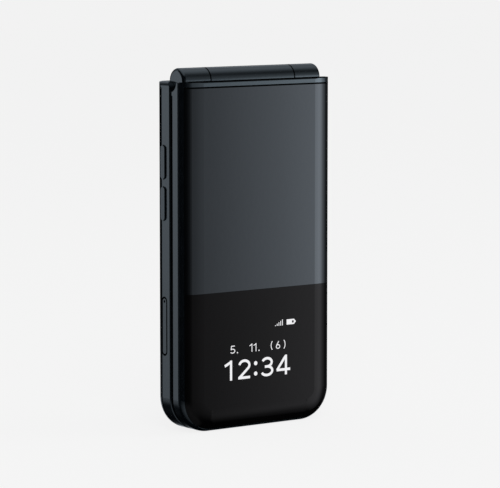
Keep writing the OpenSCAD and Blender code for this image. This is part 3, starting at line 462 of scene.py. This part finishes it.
class Print:
    """Flat artwork on a plane: (u, v) in mm go to place + u * across + v * up, raised along out."""

    sharp = 35.0      # a bend of more degrees than this gets a round joint

    def __init__(self, name, material, body, place, slot, across=(1, 0, 0), up=(0, 0, 1), out=(0, -1, 0),
                 thick=PRINT_T):
        self.bm = bmesh.new()
        self.name, self.material, self.body, self.slot, self.thick = name, material, body, slot, thick
        self.place, self.across, self.up, self.out = Vector(place), Vector(across), Vector(up), Vector(out)

    def polygon(self, points):
        verts = [self.bm.verts.new((self.place + self.across * u + self.up * v) * MM) for u, v in points]
        self.bm.faces.new(verts)

    def rect(self, left, low, right, high):
        self.polygon([(left, low), (right, low), (right, high), (left, high)])

    def disc(self, u, v, r, steps=24):
        self.polygon(arc(u, v, r, r, 0, 360 - 360 / steps, steps - 1))

    def ring(self, u, v, r, half, steps=56):
        self.smooth_stroke(arc(u, v, r, r, 0, 360, steps), half)

    def smooth_stroke(self, points, half):
        """Quads of half width each side of points that bend gently."""
        sides = []
        last = len(points) - 1
        closed = (Vector(points[0]) - Vector(points[last])).length < 1e-6
        for i, (x, y) in enumerate(points):
            before = points[i - 1 if i else (last - 1 if closed else 0)]
            after = points[i + 1 if i < last else (1 if closed else last)]
            along = (Vector(after) - Vector(before)).normalized()
            sides.append(((x - along.y * half, y + along.x * half), (x + along.y * half, y - along.x * half)))
        for (left, right), (next_left, next_right) in zip(sides, sides[1:]):
            self.polygon([left, next_left, next_right, right])

    def stroke(self, points, half, caps=False):
        """A stroke with round joints at sharp bends, and with caps round ends."""
        breaks = [0] + [i for i in range(1, len(points) - 1) if turn_at(points, i) > self.sharp]
        for start, end in zip(breaks, breaks[1:] + [len(points) - 1]):
            self.smooth_stroke(points[start:end + 1], half)
        for i in breaks[1:] + ([0, len(points) - 1] if caps else []):
            self.disc(points[i][0], points[i][1], half)

    def figures(self, text, left, right, base, height, weight):
        """Figures between left and right, on the base line. weight is the lines' width over the height."""
        gap = 0.10
        total = sum(STROKES[c][0] for c in text) + gap * (len(text) - 1)
        wide = (right - left) / total
        at = 0.0
        for c in text:
            width, lines = STROKES[c]
            for line in lines:
                points = [(left + (at + x) * wide, base + y * height) for x, y in line]
                if len(points) == 1:
                    self.disc(points[0][0], points[0][1], weight * height * DOT)
                else:
                    self.stroke(points, weight * height / 2)
            at += width + gap

    def done(self):
        """Raises the artwork by its thickness and makes it a piece."""
        bm = self.bm
        bmesh.ops.recalc_face_normals(bm, faces=bm.faces)
        flipped = [f for f in bm.faces if f.normal.dot(self.out) < 0]
        bmesh.ops.reverse_faces(bm, faces=flipped)
        made = bmesh.ops.extrude_face_region(bm, geom=list(bm.faces))
        moved = [g for g in made["geom"] if isinstance(g, bmesh.types.BMVert)]
        bmesh.ops.translate(bm, verts=moved, vec=self.out * self.thick * MM)
        bmesh.ops.recalc_face_normals(bm, faces=bm.faces)
        piece(self.name, bm, self.material, self.body)


# Width of each figure, then its lines of points, in units of the figure's height. A lone point is a dot
STROKES = {
    "0": (.62, [arc(.31, .5, .235, .425, 90, 450, 44)]),
    "1": (.36, [[(.0, .74), (.245, .91)], [(.265, 0), (.265, 1.0)]]),
    "2": (.60, [arc(.305, .69, .225, .235, 170, -36) + [(.075, .075)], [(.03, .075), (.56, .075)]]),
    "3": (.61, [arc(.295, .715, .205, .208, 158, -90), [(.20, .507), (.295, .507)],
                arc(.29, .292, .235, .217, 90, -158)]),
    "4": (.67, [[(.435, .93), (.06, .265)], [(.04, .265), (.65, .265)], [(.46, 0), (.46, 1.0)]]),
    "5": (.58, [[(.51, .925), (.155, .925), (.115, .50)] + arc(.275, .318, .235, .243, 128, -150)]),
    "6": (.60, [[(.40, .96), (.12, .46)], arc(.305, .30, .23, .225, 180, 540, 40)]),
    "7": (.57, [[(.03, .925), (.50, .925), (.19, 0)]]),
    "8": (.60, [arc(.30, .715, .195, .205, -90, 270, 36), arc(.30, .29, .235, .215, 90, 450, 36)]),
    "9": (.60, [[(.20, .04), (.48, .54)], arc(.295, .70, .23, .225, 0, 360, 40)]),
    ":": (.26, [[(.13, .215)], [(.13, .735)]]),
    ".": (.24, [[(.11, .075)]]),
    "(": (.26, [arc(.46, .5, .38, .66, 128, 232, 18)]),
    ")": (.26, [arc(-.20, .5, .38, .66, 52, -52, 18)]),
    "*": (.60, [[(.30, .22), (.30, .82)], [(.04, .37), (.56, .67)], [(.04, .67), (.56, .37)]]),
    "#": (.70, [[(.22, .05), (.30, .92)], [(.44, .05), (.52, .92)], [(.07, .33), (.66, .33)],
                [(.09, .66), (.68, .66)]]),
}


# ---------------------------------------------------------------- outer display
def add_outer_display():
    """The lit time, date, signal bars and battery mark."""
    white = printed("display_light", srgb(236, 236, 238), .4, 1.0)

    def lit(name):
        return Print(name, white, "lid", (0, LID_FRONT - LIFT, 0), "display")

    time = lit("display_time")
    for text, left, right in (("1", -14.3, -10.9), ("2", -9.15, -3.75), (":", -2.8, -0.85),
                              ("3", 0.05, 5.75), ("4", 6.4, 12.5)):
        time.figures(text, left, right, base=16.5, height=6.6, weight=.13)
    time.done()

    date = lit("display_date")
    for text, left, right in (("5", -12.2, -10.0), (".", -9.5, -8.9), ("11", -4.3, -1.35),
                              (".", -0.75, -0.15), ("(", 4.2, 5.1), ("6", 6.35, 8.25), (")", 9.6, 10.5)):
        date.figures(text, left, right, base=25.3, height=2.7, weight=.105)
    date.done()

    status = lit("display_status")
    foot, wide = 33.0, .28
    for k in range(5):
        left, top = 6.1 + k * .72, 33.3 + k * .42
        status.rect(left, foot, left + wide, top)
    status.done()

    cell = lit("display_battery")
    low, high, left, right = 33.1, 34.85, 10.85, 13.9
    filled, inside, wall, slope, nose = 13.05, 13.8, .5, .4, .35
    middle, tip, end = (low + high) / 2, right + nose, right + 2 * nose
    cell.rect(left, low, filled, high)
    cell.polygon([(filled, low), (right, low), (tip, low + slope), (tip, low + wall), (filled, low + wall)])
    cell.polygon([(filled, high - wall), (tip, high - wall), (tip, high - slope), (right, high),
                  (filled, high)])
    cell.rect(inside, low + wall, tip, high - wall)
    cell.polygon([(tip, middle - .35), (end, middle - .2), (end, middle + .2), (tip, middle + .35)])
    cell.done()


# ---------------------------------------------------------------- seams, with painted shade
def cover_top_line():
    """The foremost points along the cover's top edge, as x and y in mm from left to right."""
    by_x = {}
    for vert in NODES["cover_panel"].data.vertices:
        place = vert.co / MM
        if abs(place.z - COVER_TOP) < NEAR and place.y < FRONT_Y:
            key = round(place.x, 3)
            by_x[key] = min(by_x.get(key, 0.0), place.y)
    return sorted(by_x.items())


def section_row(bm, points):
    """The points of one section of a sweep, given in mm."""
    return [bm.verts.new(Vector(point) * MM) for point in points]


def sweep(bm, rows, closed=False):
    """A solid through rows of section points, shut at its ends or joined into a ring."""
    count = len(rows[0])
    for row, next_row in zip(rows, rows[1:] + (rows[:1] if closed else [])):
        for k in range(count):
            after = (k + 1) % count
            bm.faces.new((row[k], row[after], next_row[after], next_row[k]))
    if not closed:
        bm.faces.new(rows[0])
        bm.faces.new(rows[-1][::-1])
    bmesh.ops.recalc_face_normals(bm, faces=bm.faces)


def add_side_bands():
    """Painted shade along the sides: dark bands at the seam of the back cover, and along the lid's inner edge
    by the gap to the base.
    """
    sunk, proud = -.03, .008        # where a band's foot and face lie, out of the side
    steps, step_angle = 22, 3.7     # degrees, round the lower corner
    for name, body, front, rear, top in (("back_cover_seam_painted_shade", "base", 4.95, 5.5, 112.4),
                                         ("lid_edge_painted_shade", "lid", -1.22, -.72, 110.0)):
        path = [(HALF_WIDE, top, 1, 0), (HALF_WIDE, CORNER_R, 1, 0)]
        for step in range(1, steps + 1):
            t = math.radians(step_angle * step)
            path.append((HALF_WIDE - CORNER_R * (1 - math.cos(t)), CORNER_R * (1 - math.sin(t)),
                         math.cos(t), -math.sin(t)))
        section = [(front, sunk), (front, proud), (rear, proud), (rear, sunk)]
        bm = bmesh.new()
        for side in (-1, 1):
            sweep(bm, [section_row(bm, [(side * (x + nx * out), y, z + nz * out) for y, out in section])
                       for x, z, nx, nz in path])
        # painted shade: black bands that stand in for the shade in these seams
        piece(name, bm, MATERIALS["painted_shade_black"], body)


def add_tray_border():
    """Painted shade: the dark line round the card tray's face, for the shade in the gap around it."""
    low, high = corners("card_tray")
    middle = (low + high) / 2
    end_r, inset, half_line, clear = TRAY_W / 2, .22, .21, .002
    straight = (high.z - low.z) / 2 - end_r
    # painted shade: a black line that stands in for the shade in the gap round the tray
    art = Print("card_tray_painted_shade", MATERIALS["painted_shade_black"], "card_tray",
                (-HALF_WIDE - clear, TRAY_Y, middle.z), "housing",
                across=(0, 1, 0), out=(-1, 0, 0), thick=.008)
    r = end_r - inset
    path = arc(0, straight, r, r, 0, 180, 28) + arc(0, -straight, r, r, 180, 360, 28)
    art.smooth_stroke(path + [path[0]], half_line)
    art.done()


def over_rim(y, proud):
    """The rim's top edge moved out by proud, where the cover is at y, as y and height over the axis."""
    middle, r = LID_FRONT + RIM_R, RIM_R + proud
    turns = [math.radians(90 + 10 * k) for k in range(7)]
    return [(max(middle + r * math.cos(t), y - proud), r * math.sin(t) - RIM_R) for t in turns]


def add_hinge_seals():
    """Painted shade: the dark strip in the crevice between barrel and rim, and the dark joints between the
    barrel's knuckles.
    """
    line = [(x, y) for x, y in cover_top_line() if abs(x) < BARREL_HALF]
    line = [(-BARREL_HALF, line[0][1])] + line + [(BARREL_HALF, line[-1][1])]
    behind = -BARREL_R - .10        # the strip's edge at the barrel
    bm = bmesh.new()
    rows = []
    for x, y in line:
        # as y and height over the axis: forward from the barrel, over the rim's edge, and back below it
        section = [(behind, .07), (-BARREL_R - .35, .07), (-BARREL_R - .5, .02)]
        section += over_rim(y, .012) + over_rim(y, -.03)[::-1] + [(behind, -.03)]
        rows.append(section_row(bm, [(x, b, HINGE_Z + c) for b, c in section]))
    sweep(bm, rows)
    # painted shade: a black strip that stands in for the shade in the crevice between barrel and rim
    piece("barrel_painted_shade", bm, MATERIALS["painted_shade_black"], "lid")
    # painted shade: a black blade in each joint and a thin cap over it, as x and height over the barrel
    section = [(-.12, -.3), (-.12, -.004), (-.24, -.004), (-.24, .006), (.24, .006), (.24, -.004),
               (.12, -.004), (.12, -.3)]
    steps = 96
    bm = bmesh.new()
    for x in (-KNUCKLE_SEAM, KNUCKLE_SEAM):
        rows = []
        for step in range(steps):
            t = 2 * math.pi * step / steps
            rows.append(section_row(bm, [(x + dx, (BARREL_R + dr) * math.cos(t),
                                          HINGE_Z + (BARREL_R + dr) * math.sin(t)) for dx, dr in section]))
        sweep(bm, rows, closed=True)
    # painted shade: black blades that stand in for the shade in the knuckles' joints
    piece("knuckle_painted_shade", bm, MATERIALS["painted_shade_black"], "base")


def add_cover_seal():
    """Painted shade: the dark bead in the seam between the lid's rim and the top of the cover."""
    half, proud = 0.27, 0.012
    # height over the cover's top, and the distance out of its face in parts of proud
    section = [(-half, 0.0), (-half * .7, 1.0), (half * .7, 1.0), (half, 0.0), (0.0, -8.0)]
    line = cover_top_line()
    bm = bmesh.new()
    rows = []
    for i, (x, y) in enumerate(line):
        before, after = Vector(line[max(i - 1, 0)]), Vector(line[min(i + 1, len(line) - 1)])
        along = (after - before).normalized()
        out = Vector((along.y, -along.x)) * proud
        rows.append(section_row(bm, [(x + out.x * s, y + out.y * s, COVER_TOP + z) for z, s in section]))
    sweep(bm, rows)
    # painted shade: a black bead that stands in for the shade in the seam
    piece("cover_seam_painted_shade", bm, MATERIALS["painted_shade_black"], "lid")


# ---------------------------------------------------------------- keys
KEY_FIGURES = {"key_star": "*", "key_hash": "#", **{f"key_{k}": str(k) for k in range(10)}}


def key_print(node, material):
    """Artwork in the middle of a key's top, riding on the key."""
    low, high = corners(node)
    middle = (low + high) / 2
    return Print(node + "_print", material, node, (middle.x, low.y - LIFT, middle.z), "key_cap")


def handset(art, turn):
    """A telephone handset: a bent grip with an ear and a mouth piece, turned by degrees."""
    around = Matrix.Rotation(math.radians(turn), 2)
    grip = [tuple(around @ Vector(p)) for p in arc(0, -1.55, 2.1, 2.1, 140, 40, 16)]
    art.smooth_stroke(grip, .34)
    for x in (-1.72, 1.72):
        pad = [(x - .62, -.75), (x + .62, -.75), (x + .62, -.05), (x - .62, -.05)]
        art.polygon([tuple(around @ Vector(p)) for p in pad])


def add_key_prints():
    """Numbers on the number keys, and a plain mark on each other key."""
    ink = printed("key_print", srgb(226, 228, 230))
    green = printed("send_print", srgb(70, 190, 100))
    red = printed("end_print", srgb(214, 64, 58))
    height = 4.4
    for node, figure in KEY_FIGURES.items():
        art = key_print(node, ink)
        wide = STROKES[figure][0] * height
        art.figures(figure, -wide / 2, wide / 2, -height / 2, height, weight=.12)
        art.done()
    art = key_print("key_send", green)
    handset(art, 45)
    art.done()
    art = key_print("key_end", red)
    handset(art, 0)
    art.done()
    art = key_print("key_clear", ink)
    art.stroke([(-2.3, 0), (-1.0, 1.15), (2.1, 1.15), (2.1, -1.15), (-1.0, -1.15), (-2.3, 0)], .16, True)
    art.stroke([(.1, .5), (1.1, -.5)], .16, True)
    art.stroke([(.1, -.5), (1.1, .5)], .16, True)
    art.done()
    art = key_print("key_soft_left", ink)
    for v in (-.9, 0, .9):
        art.stroke([(-1.6, v), (1.6, v)], .17, True)
    art.done()
    art = key_print("key_soft_right", ink)
    for v in (-1.1, 0, 1.1):
        art.disc(0, v, .33)
    art.done()
    art = key_print("key_ok", ink)
    art.ring(0, 0, 1.25, .17)
    art.disc(0, 0, .42)
    art.done()
    art = key_print("nav_ring", ink)
    for turn in range(4):
        around = Matrix.Rotation(math.radians(90 * turn), 2)
        art.polygon([tuple(around @ Vector(p)) for p in ((8.75, 0), (7.75, .62), (7.75, -.62))])
    art.done()


# ---------------------------------------------------------------- camera, display and sound
def add_camera_details():
    """The lens and the flash under the camera window, as seen through it."""
    low, high = corners("camera_window")
    face_y, middle_z = high.y + LIFT, (low.z + high.z) / 2
    face = (CAMERA_X, face_y, middle_z)
    back = {"across": (-1, 0, 0), "out": (0, 1, 0)}
    bezel = Print("camera_bezel", MATERIALS["trim_metal"], "base", face, "trim_metal", thick=.03, **back)
    bezel.ring(0, 0, 3.75, .22, 72)
    bezel.done()
    barrel = Print("camera_barrel", MATERIALS["module_black"], "base", face, "module_black", **back)
    barrel.ring(0, 0, 2.95, .45, 64)
    barrel.ring(0, 0, 2.1, .14, 56)
    barrel.done()
    coated = shaded("lens_coating", moulded(srgb(10, 12, 30), srgb(22, 18, 46), (.03, .06), 500, .01, 500),
                    Specular__IOR__Level=1.0, Specular__Tint=(.55, .6, 1, 1))
    lens = Print("camera_lens", coated, "base", face, "window_black", **back)
    lens.disc(0, 0, 1.75, 48)
    lens.done()
    pale = shaded("flash_lens", moulded(srgb(206, 200, 178), srgb(226, 222, 206), (.12, .25), 2500, .4))
    flash = Print("camera_flash", pale, "base", (FLASH_X, face_y, middle_z), "window_black", **back)
    flash.disc(0, 0, .30)
    for k in range(4):      # the grooves of its lens
        flash.ring(0, 0, .48 + k * .26, .10, 48)
    flash.done()


def add_inner_display():
    """The dark viewing area within the glass's black border."""
    low, high = corners("main_display")
    middle = (low + high) / 2
    border = .6
    half_w, half_h = (high.x - low.x) / 2 - border, (high.z - low.z) / 2 - border
    field = Print("inner_display_field", MATERIALS["display"], "lid", (middle.x, LID_INNER + LIFT, middle.z),
                  "display", across=(-1, 0, 0), out=(0, 1, 0), thick=.01)
    field.rect(-half_w, -half_h, half_w, half_h)
    field.done()


def woven(name, body, place, w, h, pitch, **ways):
    """A wire mesh that fills an opening with round ends."""
    art = Print(name, MATERIALS["module_black"], body, place, "module_black", thick=.04, **ways)
    half_w, half_h, wire = w / 2, h / 2, pitch * .17
    for k in range(-int(half_w / pitch), int(half_w / pitch) + 1):
        u = k * pitch
        over = max(0.0, abs(u) - (half_w - half_h))
        reach = math.sqrt(max(0.0, half_h ** 2 - over ** 2))
        if reach > wire:
            art.smooth_stroke([(u, -reach), (u, reach)], wire)
    for k in range(-int(half_h / pitch), int(half_h / pitch) + 1):
        v = k * pitch
        reach = half_w - half_h + math.sqrt(max(0.0, half_h ** 2 - v ** 2))
        art.smooth_stroke([(-reach, v), (reach, v)], wire)
    art.done()


def add_earpiece_mesh():
    """The mesh over the earpiece, in the slot that it sounds through."""
    clear = .03
    face_y = corners("earpiece")[1].y
    woven("earpiece_mesh", "lid", (0, face_y + clear, EAR_Z), w=9.0, h=1.2, pitch=.24,
          across=(-1, 0, 0), out=(0, 1, 0))


def add_socket_contacts():
    """Twelve gilt contacts on each face of the charging socket's tongue."""
    count, pitch, half, foot, top = 12, .5, .13, 1.25, 5.0
    plating = brushed(srgb(196, 158, 84), srgb(226, 192, 120), (.2, .34), (9000, 9000, 300), .2)
    gilt = shaded("gilt", plating, Metallic=1.0)
    for name, y, out in (("socket_contacts_front", TONGUE_Y[0] - LIFT, (0, -1, 0)),
                         ("socket_contacts_rear", TONGUE_Y[1] + LIFT, (0, 1, 0))):
        art = Print(name, gilt, "base", (0, y, 0), "steel", out=out)
        for k in range(count):
            u = (k - (count - 1) / 2) * pitch
            art.rect(u - half, foot, u + half, top)
        art.done()


add_camera()
add_world()
add_floor()
area_lamp("key", (-0.5, -0.9, 0.9), (0.6, 0.6), 6)
area_lamp("fill", (0.9, -0.5, 0.5), (0.5, 0.8), 3)
dress_nodes()
add_outer_display()
add_cover_seal()
add_hinge_seals()
add_side_bands()
add_tray_border()
add_key_prints()
add_camera_details()
add_inner_display()
add_earpiece_mesh()
add_socket_contacts()
